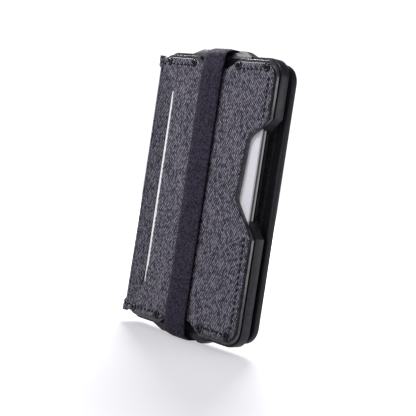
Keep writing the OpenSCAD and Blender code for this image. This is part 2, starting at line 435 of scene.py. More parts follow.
# Fine grain and handling marks, for anything smooth
def makeGrainGroup():
    t, given, out = newGroup(
        "surfaceGrain",
        [("Vector", "NodeSocketVector", None), ("Fine", "NodeSocketFloat", 6000.0),
         ("Broad", "NodeSocketFloat", 90.0)],
        [("Height", "NodeSocketFloat"), ("Marks", "NodeSocketFloat")],
    )
    t.link(t.noise(given["Vector"], given["Fine"], 3.0, 0.6), out["Height"])
    t.link(t.noise(given["Vector"], given["Broad"], 5.0, 0.6), out["Marks"])
    return t.tree


# Lighter metal or paint on sharp edges: partly rubbed wear, partly a painted highlight where edges
# catch the light
def makeEdgeWearAndHighlightGroup():
    t, given, out = newGroup(
        "edgeWearAndHighlight",
        [("Vector", "NodeSocketVector", None), ("Amount", "NodeSocketFloat", 0.5)],
        [("Mask", "NodeSocketFloat")],
    )
    shape = t.node("ShaderNodeNewGeometry")
    sharp = t.range(shape.outputs["Pointiness"], 0.505, 0.56)
    broken = t.range(t.noise(given["Vector"], 500.0, 4.0, 0.65), 0.35, 0.65)
    t.link(t.math("MULTIPLY", t.math("MULTIPLY", sharp, broken), given["Amount"]), out["Mask"])
    return t.tree


twillGroup = makeTwillGroup()
grainGroup = makeGrainGroup()
edgeWearAndHighlightGroup = makeEdgeWearAndHighlightGroup()


def newMaterial(name):
    material = bpy.data.materials.new(name)
    material.use_nodes = True
    t = Tree(material.node_tree)
    return material, t, material.node_tree.nodes["Principled BSDF"]


def useGroup(t, group, vector, **values):
    made = t.node("ShaderNodeGroup", node_tree=group)
    t.link(vector, made.inputs["Vector"])
    for key, value in values.items():
        made.inputs[key].default_value = value
    return made.outputs


def clothMaterial(name, look):
    material, t, shader = newMaterial(name)
    uv = t.node("ShaderNodeUVMap", uv_map="clothUv").outputs[0]
    weave = useGroup(
        t, twillGroup, uv,
        Pitch=look["pitch"], Float=look["float"], Yarn=look["yarn"], Weft=look["weft"],
    )
    place = t.node("ShaderNodeTexCoord").outputs["Object"]
    grain = useGroup(t, grainGroup, place, Fine=4000.0, Broad=60.0)
    shade = t.range(weave["Shade"], look["low"], look["high"])
    thread = t.mix(shade, (*look["dark"], 1), (*look["light"], 1))
    worn = t.range(grain["Marks"], 0.35, 0.7, 0.0, look["fade"])
    colour = t.mix(worn, thread, (*look["dust"], 1))
    t.link(colour, shader.inputs["Base Color"])
    t.link(t.range(shade, 0, 1, look["rough"] + 0.06, look["rough"] - 0.06), shader.inputs["Roughness"])
    fuzz = t.bump(grain["Height"], 0.25, 0.00006)
    t.link(t.bump(weave["Height"], look["depth"], 0.00012, fuzz), shader.inputs["Normal"])
    shader.inputs["Specular IOR Level"].default_value = look["gloss"]
    shader.inputs["Sheen Weight"].default_value = look["sheen"]
    shader.inputs["Sheen Roughness"].default_value = 0.45
    return material


def metalMaterial(name, look):
    material, t, shader = newMaterial(name)
    place = t.node("ShaderNodeTexCoord").outputs["Object"]
    grain = useGroup(t, grainGroup, place, Fine=look["fine"], Broad=110.0)
    wearAndHighlight = useGroup(t, edgeWearAndHighlightGroup, place, Amount=look["wearAndHighlight"])
    marked = t.mix(t.range(grain["Marks"], 0.3, 0.7), (*look["colour"], 1), (*look["second"], 1))
    # Sharp edges turn towards the bare colour: wear, and a painted highlight along the edges
    t.link(t.mix(wearAndHighlight["Mask"], marked, (*look["bareAndHighlight"], 1)), shader.inputs["Base Color"])
    rough = t.range(grain["Marks"], 0.25, 0.75, look["rough"] - 0.05, look["rough"] + 0.08)
    t.link(rough, shader.inputs["Roughness"])
    t.link(t.bump(grain["Height"], look["depth"], 0.00004), shader.inputs["Normal"])
    shader.inputs["Metallic"].default_value = look["metal"]
    shader.inputs["Specular IOR Level"].default_value = look["gloss"]
    return material


def dressed(piece, *materials):
    if piece.data.materials:
        piece.data.materials.clear()
    for material in materials:
        piece.data.materials.append(material)
    return piece


clothLooks = {
    "heather": {
        "pitch": 0.00038, "float": 3.0, "yarn": 0.5, "weft": 0.15, "low": 0.34, "high": 0.90,
        "dark": (0.004, 0.003, 0.007), "light": (0.43, 0.405, 0.51), "dust": (0.10, 0.095, 0.11),
        "fade": 0.05, "rough": 0.86, "depth": 0.6, "gloss": 0.18, "sheen": 0.05,
    },
    "lining": {
        "pitch": 0.00022, "float": 2.0, "yarn": 0.5, "weft": 0.6, "low": 0.1, "high": 0.9,
        "dark": (0.004, 0.004, 0.005), "light": (0.034, 0.033, 0.038), "dust": (0.03, 0.03, 0.03),
        "fade": 0.10, "rough": 0.80, "depth": 0.4, "gloss": 0.2, "sheen": 0.03,
    },
    "pocket": {
        "pitch": 0.00024, "float": 2.0, "yarn": 0.6, "weft": 0.5, "low": 0.1, "high": 0.9,
        "dark": (0.008, 0.008, 0.010), "light": (0.075, 0.073, 0.085), "dust": (0.06, 0.06, 0.06),
        "fade": 0.12, "rough": 0.82, "depth": 0.5, "gloss": 0.2, "sheen": 0.04,
    },
    "webbing": {
        "pitch": 0.00056, "float": 2.0, "yarn": 0.6, "weft": 0.8, "low": 0.15, "high": 0.85,
        "dark": (0.002, 0.0015, 0.004), "light": (0.062, 0.050, 0.092), "dust": (0.022, 0.018, 0.032),
        "fade": 0.12, "rough": 0.80, "depth": 0.7, "gloss": 0.2, "sheen": 0.05,
    },
}
# What a hard finish has unless its own look says otherwise
plainFinish = {"fine": 5000.0, "depth": 0.3, "metal": 0.0, "gloss": 0.5, "wearAndHighlight": 0.2}
metalLooks = {
    "plate": {
        "colour": (0.016, 0.014, 0.021), "second": (0.022, 0.02, 0.028), "bareAndHighlight": (0.42, 0.41, 0.46),
        "rough": 0.24, "fine": 9000.0, "depth": 0.06, "gloss": 0.9, "wearAndHighlight": 0.22,
    },
    "frame": {
        "colour": (0.017, 0.015, 0.024), "second": (0.022, 0.02, 0.03), "bareAndHighlight": (0.12, 0.115, 0.14),
        "rough": 0.36, "fine": 7000.0, "depth": 0.15, "gloss": 0.36, "wearAndHighlight": 0.3,
    },
    "screw": {
        "colour": (0.006, 0.006, 0.008), "second": (0.01, 0.01, 0.012), "bareAndHighlight": (0.22, 0.22, 0.24),
        "rough": 0.22, "fine": 9000.0, "depth": 0.06, "metal": 0.75, "gloss": 0.7, "wearAndHighlight": 0.5,
    },
    "cup": {
        "colour": (0.004, 0.004, 0.005), "second": (0.007, 0.007, 0.008),
        "bareAndHighlight": (0.05, 0.05, 0.055), "rough": 0.42, "fine": 7000.0, "depth": 0.1, "gloss": 0.35,
        "wearAndHighlight": 0.25,
    },
    "rubber": {
        "colour": (0.01, 0.01, 0.01), "second": (0.016, 0.016, 0.016), "bareAndHighlight": (0.03, 0.03, 0.03),
        "rough": 0.75, "gloss": 0.3,
    },
    "binding": {
        "colour": (0.01, 0.009, 0.015), "second": (0.015, 0.013, 0.02), "bareAndHighlight": (0.05, 0.048, 0.06),
        "rough": 0.46, "fine": 2600.0, "depth": 0.35, "gloss": 0.45, "wearAndHighlight": 0.4,
    },
    # Near black for the band's sides: painted shade where the light does not reach
    "shadedBandSide": {
        "colour": (0.002, 0.0015, 0.003), "second": (0.004, 0.003, 0.006),
        "bareAndHighlight": (0.01, 0.01, 0.012), "rough": 0.8, "gloss": 0.15, "wearAndHighlight": 0.1,
    },
    # Dark edges of cut cloth: edge paint, and painted shade on the side walls
    "edgePaintAndShade": {
        "colour": (0.006, 0.005, 0.008), "second": (0.012, 0.011, 0.014), "bareAndHighlight": (0.1, 0.1, 0.12),
        "rough": 0.42, "wearAndHighlight": 0.4,
    },
    "cardWhite": {
        "colour": (0.89, 0.87, 0.94), "second": (0.92, 0.9, 0.96), "bareAndHighlight": (0.9, 0.9, 0.9),
        "rough": 0.3, "fine": 3000.0, "depth": 0.04,
    },
    "cardDark": {
        "colour": (0.05, 0.05, 0.055), "second": (0.06, 0.06, 0.07), "bareAndHighlight": (0.2, 0.2, 0.2),
        "rough": 0.32, "fine": 3000.0, "depth": 0.04, "wearAndHighlight": 0.3,
    },
    "cardSilver": {
        "colour": (0.52, 0.48, 0.5), "second": (0.6, 0.57, 0.58), "bareAndHighlight": (0.8, 0.8, 0.8),
        "rough": 0.34, "fine": 3000.0, "depth": 0.04, "metal": 0.3,
    },
    "paper": {
        "colour": (0.95, 0.95, 0.95), "second": (0.97, 0.97, 0.97), "bareAndHighlight": (0.97, 0.97, 0.97),
        "rough": 0.7, "fine": 2500.0, "depth": 0.12, "gloss": 0.3, "wearAndHighlight": 0.1,
    },
    "brass": {
        "colour": (0.62, 0.44, 0.18), "second": (0.7, 0.52, 0.24), "bareAndHighlight": (0.85, 0.7, 0.4),
        "rough": 0.32, "fine": 8000.0, "depth": 0.1, "metal": 1.0, "wearAndHighlight": 0.3,
    },
    "board": {
        "colour": (0.28, 0.22, 0.15), "second": (0.36, 0.29, 0.2), "bareAndHighlight": (0.4, 0.34, 0.25),
        "rough": 0.85, "fine": 1800.0, "depth": 0.4, "gloss": 0.2, "wearAndHighlight": 0.1,
    },
    "foil": {
        "colour": (0.72, 0.73, 0.75), "second": (0.8, 0.81, 0.83), "bareAndHighlight": (0.9, 0.9, 0.9),
        "rough": 0.28, "fine": 1200.0, "metal": 1.0, "wearAndHighlight": 0.1,
    },
    "thread": {
        "colour": (0.006, 0.006, 0.008), "second": (0.016, 0.015, 0.02), "bareAndHighlight": (0.03, 0.03, 0.03),
        "rough": 0.7, "fine": 9000.0, "depth": 0.5, "gloss": 0.3,
    },
}
# A darker copy of the heather, as painted shade: it covers the strip left of the slit and the outside
# of the spine wrap
clothLooks["heatherUnder"] = {
    **clothLooks["heather"], "light": (0.31, 0.29, 0.37), "dust": (0.08, 0.075, 0.09),
}
cloth = {name: clothMaterial(name, look) for name, look in clothLooks.items()}
finish = {name: metalMaterial(name, {**plainFinish, **look}) for name, look in metalLooks.items()}
print("materials made")


# ---- front plate, frame, cards and what is inside ----

# Each node's own name here, edge width, look, body and material slot.
# The front plate keeps a single flat chamfer, and the others are rounded
hardParts = {
    "front_plate": ("frontPlate", 0.32, "plate", "chassis", "black_anodised"),
    "chassis_frame": ("cardFrame", 0.30, "frame", "chassis", "frame_anodised"),
    "spacer_gasket": ("slotSpacer", 0.12, "rubber", "chassis", "gasket_rubber"),
    "card_front": ("frontCard", 0.10, "cardWhite", "quick_card", "card_white"),
    "card_middle": ("middleCard", 0.10, "cardDark", "chassis", "card_charcoal"),
    "card_rear": ("rearCard", 0.10, "cardSilver", "chassis", "card_silver"),
    "leaf_binding": ("leafEdge", 0.75, "binding", "leaf", "edge_binding"),
}
for node, (name, width, look, body, slotName) in hardParts.items():
    flat = node == "front_plate"
    piece = dressed(finishedCopy(node, name, width, 1 if flat else 3), finish[look])
    piece.modifiers["softEdges"].harden_normals = not flat
    if flat:
        applied(piece)
        piece.data.set_sharp_from_angle(angle=math.radians(25))
    assigned(piece, slotName, body)
keptNodes = {
    "pressure_pad": "rubber", "thread_inserts": "brass", "leaf_board": "board", "rfid_foil": "foil",
}
for node, look in keptNodes.items():
    dressed(frame["nodes"][node], finish[look])
print("hard parts made")


# ---- the fabric on the front ----

front = {
    "step": 0.75,
    "right": 31.1, "top": 49.6, "left": -31.0, "corner": 5.5,
    "notchMouth": 11.6, "notchFloor": 6.2, "notchTop": 46.8,
    "skinY": -1.05, "lowY": -0.5, "pocketLift": 0.32, "pocketRight": 19.0, "pocketTop": 37.5,
    "slitX": -22.0, "slitHalf": 38.0, "slitWide": 1.1,
    "cutout": [(28.6, 27.2, 1.5), (22.4, 23.3, 4.0), (21.0, 0.6, 3.0), (28.8, -8.8, 2.0)],
    "screwX": (-26.7, -12.3, 12.3, 26.7), "screwZ": 48.0, "screwHole": 1.5,
    "seamX": 28.6, "seamZ": 47.2,
    "creaseOut": 9.5, "creaseEnd": 49.0,
    "wave": 0.12, "pucker": 0.03, "seamDeep": 0.22, "leftSink": 0.42, "roll": 0.5,
}


def frontOutline():
    f = front
    mouth, floor, notch = f["notchMouth"], f["notchFloor"], f["notchTop"]
    right, top, left = f["right"], f["top"], f["left"]
    corners = [(right, top, f["corner"])]
    corners += [(mouth, top, 0.8), (floor, notch, 0.8), (-floor, notch, 0.8), (-mouth, top, 0.8)]
    corners += [(left, top, 0), (left, -top, 0)]
    corners += [(-mouth, -top, 0.8), (-floor, -notch, 0.8), (floor, -notch, 0.8), (mouth, -top, 0.8)]
    corners += [(right, -top, f["corner"])]
    (x1, z1, r1), upper, lower, (x2, z2, r2) = f["cutout"]
    corners += [(right, z2 - (right - x2) * 1.15, 0.8), (x2, z2, r2), lower, upper]
    corners += [(x1, z1, r1), (right, z1 + (right - x1) * 0.95, 0.8)]
    return rounded(corners)


# The slit's two edges meet in a point at each end; the lower end bends out
def slitRing():
    f = front
    points = []
    count = 40
    for side in (1, -1):
        for i in range(count):
            t = -1 + 2 * i / count
            z = side * t * f["slitHalf"]
            wide = f["slitWide"] * (1 - abs(t) ** 5) ** 0.7
            bend = -1.9 * smooth(-0.80, -1.0, z / f["slitHalf"])
            points.append((f["slitX"] + side * wide + bend, z))
    return points


# The outer layer's left edge: the slit, then a crease that runs out to the corner
def layerEdge(z):
    f = front
    return f["slitX"] - f["creaseOut"] * smooth(f["slitHalf"] - 1, f["creaseEnd"], abs(z))


def frontSurface(x, z):
    f = front
    y = f["skinY"]
    y += f["leftSink"] * smooth(-24, -31, x)
    inPocket = smooth(-22.5, -20.5, x) * smooth(f["pocketRight"] + 6, f["pocketRight"], x)
    inPocket *= smooth(f["pocketTop"] + 5, f["pocketTop"] - 1, abs(z))
    y -= f["pocketLift"] * inPocket
    beside = smooth(0.4, -0.4, x - layerEdge(z))
    y += (f["lowY"] - y) * beside
    seam = math.exp(-((abs(z) - f["seamZ"]) / 0.55) ** 2)
    seam = max(seam, math.exp(-((x - f["seamX"]) / 0.55) ** 2) * (abs(z) < 47.5))
    y += f["seamDeep"] * seam
    y -= f["wave"] * noise.noise(Vector((x * 0.09, z * 0.07, 1.7))) * (1 - beside)
    y -= f["pucker"] * noise.noise(Vector((x * 0.5, z * 0.5, 4.2)))
    return y


def makeFrontFabric():
    f = front
    screws = [circle(x, side * f["screwZ"], f["screwHole"]) for x in f["screwX"] for side in (-1, 1)]
    piece = panel(
        "frontFabric", frontOutline(), screws + [slitRing()], f["step"], frontSurface,
        lambda x, z: -0.04, flatUv, f["roll"], True,
    )
    dressed(piece, cloth["heather"], finish["edgePaintAndShade"], cloth["heatherUnder"])
    # Painted shade: left of the outer layer's edge the cloth takes the darker copy of the heather
    for face in piece.data.polygons:
        centre = (face.center - at(0, 0, 0)) / mm
        if face.material_index == 0 and centre.x < layerEdge(centre.z):
            face.material_index = 2
    assigned(piece, "heather_fabric", "chassis", "front_skin", "front_base_fabric")
    return piece


makeFrontFabric()


# The cloth under the slit, which the paper slip slides over
def makePocketFloor():
    f = front
    low, high = -f["slitHalf"] - 2, f["slitHalf"] + 2
    piece = panel(
        "pocketFloor", rectangle(-26, low, -12, high, 1), [], 2.0,
        lambda x, z: -0.42, lambda x, z: -0.02, flatUv, 0.1,
    )
    dressed(piece, cloth["lining"])
    assigned(piece, "lining_fabric", "chassis")


makePocketFloor()


slip = {"corner": 1.6, "step": 1.6, "roll": 0.08, "bow": 0.03, "half": 38}


# The slip is card stock with rounded corners, a little bowed
def makeSlip():
    low, high = span("pocket_slip")

    def bow(z):
        return slip["bow"] * math.cos(z / slip["half"] * math.pi / 2)

    piece = panel(
        "paperSlip", rectangle(low.x, low.z, high.x, high.z, slip["corner"]), [], slip["step"],
        lambda x, z: low.y - bow(z), lambda x, z: high.y - bow(z), flatUv, slip["roll"],
    )
    dressed(piece, finish["paper"])
    assigned(piece, "slip_paper", "paper_slip", "pocket_slip")


makeSlip()
print("front fabric made")


# ---- the cloth that runs from the front round the spine to the leaf ----

wrap = {
    "half": 50.1, "rows": 150, "steps": 44, "thick": 0.95,
    "frontY": -0.5, "startX": -31.0, "spineX": -34.2,
    "cornerTop": 4.3, "cornerFoot": 2.5,
    "hemZ": 46.0, "hemLift": 0.8,
    "stitchZ": 47.4, "sewnIn": 0.25, "stitchOut": 0.22,
    "ripple": 0.10, "setBack": 0.11, "round": 0.2,
}
leafLow, leafHigh = span("leaf_fabric")
backY = leafHigh.y
spineMidY = (wrap["frontY"] + backY) / 2


# One half of the wrap's profile at height z, as distances along it: place and outward direction
def wrapProfile(z, share):
    w = wrap
    radius = w["cornerFoot"] + (w["cornerTop"] - w["cornerFoot"]) * (z / w["half"] + 1) / 2
    flat = w["startX"] - (w["spineX"] + radius)
    if flat < 0:
        radius += flat
        flat = 0
    bend = radius * math.pi / 2
    rest = spineMidY - (w["frontY"] + radius)
    along = share * (flat + bend + rest)
    if along < flat:
        return w["startX"] - along, w["frontY"], 0.0, -1.0, along
    if along < flat + bend:
        turn = (along - flat) / radius
        x = w["spineX"] + radius - radius * math.sin(turn)
        y = w["frontY"] + radius - radius * math.cos(turn)
        return x, y, -math.sin(turn), -math.cos(turn), along
    return w["spineX"], w["frontY"] + radius + along - flat - bend, -1.0, 0.0, along


def makeWrap(name, mirrored):
    w = wrap
    verts, uvs = [], []
    for layer in (0, 1):
        for j in range(w["rows"] + 1):
            z = w["half"] * (2 * j / w["rows"] - 1)
            for i in range(w["steps"] + 1):
                share = i / w["steps"]
                x, y, nx, ny, along = wrapProfile(z, share)
                lift = w["hemLift"] * smooth(w["hemZ"] - 0.25, w["hemZ"] + 0.25, abs(z))
                lift *= smooth(0, 1.6, along)
                sewn = math.exp(-((abs(z) - w["stitchZ"]) / 0.5) ** 2)
                lift -= w["sewnIn"] * sewn * smooth(0, 1.6, along)
                ripple = noise.noise(Vector((along * 0.1, z * 0.06, 7.7 + mirrored)))
                lift += (w["ripple"] * ripple - w["setBack"]) * smooth(0, 2, along)
                if layer:
                    lift = -w["thick"]
                x, y = x + nx * lift, y + ny * lift
                if mirrored:
                    y = 2 * spineMidY - y
                verts.append(at(x, y, z))
                total = wrapProfile(z, 1)[4]
                u = w["startX"] - (2 * total - along if mirrored else along)
                uvs.append(Vector((u, z)) * mm)
    wide, tall = w["steps"] + 1, w["rows"] + 1
    count = wide * tall
    faces = []
    for j in range(tall - 1):
        for i in range(wide - 1):
            a = j * wide + i
            quad = (a, a + 1, a + wide + 1, a + wide)
            faces.append(quad)
            faces.append(tuple(count + k for k in reversed(quad)))
    rim = [i for i in range(wide)] + [j * wide + wide - 1 for j in range(1, tall)]
    rim += [(tall - 1) * wide + i for i in range(wide - 2, -1, -1)]
    rim += [j * wide for j in range(tall - 2, 0, -1)]
    for a, b in zip(rim, rim[1:] + rim[:1]):
        faces.append((b, a, count + a, count + b))
    piece = newPiece(name, verts, faces, uvs)
    outwards(piece)
    # The wrap's outside takes the darker heather as painted shade, and its other face the lining
    dressed(piece, cloth["heatherUnder"], cloth["lining"])
    faceCount = (wide - 1) * (tall - 1) * 2
    for face in piece.data.polygons:
        if face.index < faceCount and face.index % 2:
            face.material_index = 1
    softEdges(piece, w["round"], 3, 60)
    return piece


frontWrap = applied(makeWrap("spineWrapFront", False))
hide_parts("spine_fabric", "spine_lining")
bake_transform(frontWrap)
backWrap = applied(makeWrap("spineWrapBack", True))
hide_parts("spine_hem_top", "spine_hem_bottom")
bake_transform(backWrap)
print("spine made")


# ---- the leaf ----

leaf = {
    "step": 1.1, "corner": 4.9, "seamIn": 2.4, "roll": 0.25, "thick": 0.5,
    "drop": 0.12, "setBack": 0.09, "ripple": 0.08, "seamDeep": 0.2,
}
leafU = wrap["startX"] - 2 * wrapProfile(0, 1)[4]


def leafCorners(inset, left=None):
    low, high = leafLow, leafHigh
    left = low.x if left is None else left
    r = leaf["corner"]
    return [
        (left, low.z + inset, 0), (left, high.z - inset, 0),
        (high.x - inset, high.z - inset, r), (high.x - inset, low.z + inset, r),
    ]


def leafBackSurface(x, z):
    edgeX, edgeZ = leafHigh.x - x, leafHigh.z - abs(z)
    near = min(edgeX, edgeZ)
    inward = smooth(wrap["startX"], wrap["startX"] + 6, x)
    y = backY - leaf["drop"] * (1 - smooth(0.5, 7, near)) * inward
    seam = math.exp(-((near - leaf["seamIn"]) / 0.5) ** 2)
    y -= leaf["seamDeep"] * seam
    ripple = noise.noise(Vector((x * 0.07, z * 0.06, 9.1)))
    y += (leaf["ripple"] * ripple - leaf["setBack"]) * inward
    return y


def makeLeafFabric():
    piece = panel(
        "leafFabric", rounded(leafCorners(0.1, wrap["startX"])), [], leaf["step"],
        leafBackSurface, lambda x, z: backY - leaf["thick"],
        lambda x, z: (leafU + (x - wrap["startX"]), z), leaf["roll"], True,
    )
    dressed(piece, cloth["heather"], finish["edgePaintAndShade"])
    assigned(piece, "heather_fabric", "leaf", "leaf_fabric")


def makeLining():
    low, high = span("leaf_lining")

    def face(x, z):
        return low.y - 0.03 * noise.noise(Vector((x * 0.1, z * 0.1, 2.2)))

    piece = panel(
        "leafLining", rounded(leafCorners(0.05)), [], 1.6, face,
        lambda x, z: high.y - 0.02, flatUv, 0.1,
    )
    dressed(piece, cloth["lining"])
    assigned(piece, "lining_fabric", "leaf", "leaf_lining")


pocket = {
    "step": 1.0, "dip": 2.2, "dipTop": 11, "dipFoot": 7,
    "foldAt": 4.6, "foldProud": 0.05, "sewnAt": 1.2, "sewnDeep": 0.08, "rowDown": 3.6,
    "sewnRun": 15.5,
}


# Each pocket has a folded, stitched mouth with a shallow dip for the finger
def makePocket(node, name):
    p = pocket
    low, high = span(node)
    mid, foot = (low.x + high.x) / 2, high.z - p["dip"]
    corners = [
        (low.x, low.z, 1.5), (low.x, high.z, 1.2),
        (mid - p["dipTop"], high.z, 3), (mid - p["dipFoot"], foot, 3),
        (mid + p["dipFoot"], foot, 3), (mid + p["dipTop"], high.z, 3),
        (high.x, high.z, 1.2), (high.x, low.z, 1.5),
    ]

    def face(x, z):
        fold = smooth(high.z - p["foldAt"], high.z - p["foldAt"] + 0.4, z) * p["foldProud"]
        side = min(x - low.x, high.x - x, z - low.z)
        sewn = p["sewnDeep"] * math.exp(-((side - p["sewnAt"]) / 0.4) ** 2)
        return low.y + 0.03 - fold + sewn

    piece = panel(
        name, rounded(corners), [], p["step"], face,
        lambda x, z: high.y - 0.02, flatUv, 0.1,
    )
    dressed(piece, cloth["pocket"])
    assigned(piece, "pocket_fabric", "leaf", node)


makeLeafFabric()
makeLining()
makePocket("leaf_pocket_high", "pocketHigh")
makePocket("leaf_pocket_mid", "pocketMid")
makePocket("leaf_pocket_low", "pocketLow")
print("leaf made")


# ---- the elastic band ----

band = {
    "wide": 11.4, "thick": 1.3, "across": 24, "step": 0.7, "shadedBandSide": 0.75,
    "edgeFall": 0.55, "rib": 0.05, "ribs": 9, "shoulderIn": 0.9, "shoulderUp": 1.35, "hornIn": 3.8,
}
bandLow, bandHigh = span("elastic_band")


# The band's run in y and z, half way through its thickness
def bandRun():
    half = band["thick"] / 2
    face, back = bandLow.y + half, bandHigh.y - half
    near, far = face + band["shoulderIn"], face + band["hornIn"]
    top = bandHigh.z - half
    bend, shoulder = top - band["shoulderUp"], front["notchTop"] - 1
    corners = [
        (face, -shoulder, 4.0), (near, -bend, 2.0), (far, -top, 2.0), (back, -top, 1.2),
        (back, top, 1.2), (far, top, 2.0), (near, bend, 2.0), (face, shoulder, 4.0),
    ]
    return resampled(rounded(corners), band["step"])


def makeBand():
    run = bandRun()
    count = len(run)
    half, thick, across = band["wide"] / 2, band["thick"] / 2, band["across"]
    ring = []
    for side in (1, -1):
        for i in range(across + 1):
            t = -1 + 2 * i / across
            x = side * t * half
            h = side * thick * (1 - band["edgeFall"] * abs(t) ** 7)
            h += side * band["rib"] * math.cos(t * math.pi * band["ribs"]) * (1 - abs(t) ** 3)
            ring.append((x, h))
    verts, uvs, length = [], [], 0.0
    for k, (y, z) in enumerate(run):
        before, after = Vector(run[k - 1]), Vector(run[(k + 1) % count])
        along = (after - before).normalized()
        out = Vector((-along.y, along.x))
        if out.dot(Vector((y - 2, z * 0.05))) < 0:
            out = -out
        for x, h in ring:
            verts.append(at(x, y + out.x * h, z + out.y * h))
            uvs.append(Vector((x, length)) * mm)
        length += (after - Vector((y, z))).length
    size = len(ring)
    faces = []
    for k in range(count):
        here, there = k * size, (k + 1) % count * size
        for i in range(size):
            j = (i + 1) % size
            faces.append((here + i, here + j, there + j, there + i))
    piece = newPiece("elasticBand", verts, faces, uvs)
    outwards(piece, 0.002)
    dressed(piece, cloth["webbing"], finish["shadedBandSide"])
    for face in piece.data.polygons:
        face.use_smooth = True
        # Side faces take the near-black finish, as painted shade
        if abs(face.normal.x) > band["shadedBandSide"]:
            face.material_index = 1
    assigned(piece, "elastic_webbing", "chassis", "elastic_band")


makeBand()


# The lapped end of the band, sewn on the back run
def makeBandSeam():
    low, high = span("band_seam")
    piece = panel(
        "bandLap", rectangle(low.x, low.z, high.x, high.z, 0.5), [], 1.0,
        lambda x, z: high.y - 0.06 * (abs(abs(z) - 4.6) < 0.6), lambda x, z: low.y - 0.05,
        flatUv, 0.15,
    )
    dressed(piece, cloth["webbing"])
    assigned(piece, "elastic_webbing", "chassis", "band_seam")


makeBandSeam()
print("band made")


# ---- screws and stitches, set out by geometry nodes ----

# Sets one shape at every point, turned to the point's own direction, in one material
def makeSetOutTree():
    t, given, out = newGroup(
        "setOut",
        [("Geometry", "NodeSocketGeometry", None), ("Shape", "NodeSocketObject", None),
         ("Material", "NodeSocketMaterial", None)],
        [("Geometry", "NodeSocketGeometry")], "GeometryNodeTree",
    )
    shape = t.node("GeometryNodeObjectInfo")
    t.link(given["Shape"], shape.inputs["Object"])
    heading = t.node("GeometryNodeInputNamedAttribute", data_type="FLOAT_VECTOR")
    heading.inputs["Name"].default_value = "heading"
    turned = t.node("FunctionNodeAlignRotationToVector", axis="X")
    t.link(heading.outputs[0], turned.inputs["Vector"])
    face = t.node("GeometryNodeInputNamedAttribute", data_type="FLOAT_VECTOR")
    face.inputs["Name"].default_value = "face"
    faced = t.node("FunctionNodeAlignRotationToVector", axis="Z", pivot_axis="X")
    t.link(turned.outputs[0], faced.inputs["Rotation"])
    t.link(face.outputs[0], faced.inputs["Vector"])
    setOut = t.node("GeometryNodeInstanceOnPoints")
    t.link(given["Geometry"], setOut.inputs["Points"])
    t.link(shape.outputs["Geometry"], setOut.inputs["Instance"])
    t.link(faced.outputs[0], setOut.inputs["Rotation"])
    real = t.node("GeometryNodeRealizeInstances")
    t.link(setOut.outputs[0], real.inputs[0])
    paint = t.node("GeometryNodeSetMaterial")
    t.link(real.outputs[0], paint.inputs["Geometry"])
    t.link(given["Material"], paint.inputs["Material"])
    t.link(paint.outputs[0], out["Geometry"])
    return t.tree


setOutTree = makeSetOutTree()


# places: list of (point, direction along the shape's X, direction of its Z)
def setOut(name, places, shape, material, body, slotName, nodes=()):
    mesh = bpy.data.meshes.new(name)
    mesh.from_pydata([p[0] for p in places], [], [])
    for label, column in (("heading", 1), ("face", 2)):
        attribute = mesh.attributes.new(label, "FLOAT_VECTOR", "POINT")
        for i, place in enumerate(places):
            attribute.data[i].vector = place[column]
    piece = bpy.data.objects.new(name, mesh)
    bpy.context.scene.collection.objects.link(piece)
    modifier = piece.modifiers.new("setOut", "NODES")
    modifier.node_group = setOutTree
    sockets = setOutTree.interface.items_tree
    modifier[sockets["Shape"].identifier] = shape
    modifier[sockets["Material"].identifier] = material
    applied(piece)
    for attribute in ("heading", "face"):
        if attribute in piece.data.attributes:
            piece.data.attributes.remove(piece.data.attributes[attribute])
    for face in piece.data.polygons:
        face.use_smooth = True
    assigned(piece, slotName, body, *nodes)
    return piece


# A shape turned round Z from (radius, height) points in millimetres
def turnedShape(name, profile, count):
    verts, faces = [], []
    for k in range(count):
        a = 2 * math.pi * k / count
        verts += [(r * mm * math.cos(a), r * mm * math.sin(a), h * mm) for r, h in profile]
    rows = len(profile)
    for k in range(count):
        here, there = k * rows, (k + 1) % count * rows
        for i in range(rows - 1):
            faces.append((here + i, there + i, there + i + 1, here + i + 1))
    shape = newPiece(name, verts, faces)
    outwards(shape, 0.001)
    return shape


screw = {
    "head": 1.35, "tall": 0.80, "socket": 0.62, "deep": 0.5, "cup": 1.65, "sides": 36, "y": -0.42,
    "root": -0.3, "shoulder": 0.35, "crown": 0.55, "cupHole": 1.0,
}


def makeScrewShapes():
    s = screw
    root, shoulder, hole = s["root"], s["shoulder"], s["cupHole"]
    head = [(0, root), (s["head"], root), (s["head"], shoulder)]
    for turn in (20, 40, 60, 80):
        a = math.radians(turn)
        head.append((
            s["head"] - s["crown"] * (1 - math.cos(a)),
            shoulder + (s["tall"] - shoulder) * math.sin(a),
        ))
    head += [(s["socket"] + 0.12, s["tall"]), (s["socket"], s["tall"] - 0.1)]
    head += [(s["socket"], s["tall"] - s["deep"]), (0, s["tall"] - s["deep"] - 0.15)]
    cup = [
        (hole, root), (s["cup"], root), (s["cup"], 0.15), (s["cup"] - 0.18, 0.32),
        (s["head"] + 0.1, 0.2), (s["head"] + 0.04, 0.0), (hole, 0.0), (hole, root),
    ]
    headShape = turnedShape("screwHeadShape", head, s["sides"])
    for v in headShape.data.vertices:
        r = math.hypot(v.co.x, v.co.y) / mm
        if 0.01 < r < s["socket"] + 0.01 and v.co.z / mm < s["tall"] - 0.05:
            a = math.atan2(v.co.y, v.co.x)
            sixth = math.radians(60)
            flat = math.cos(sixth / 2) / math.cos((a % sixth) - sixth / 2)
            v.co.x, v.co.y = v.co.x * flat, v.co.y * flat
    return headShape, turnedShape("screwCupShape", cup, s["sides"])


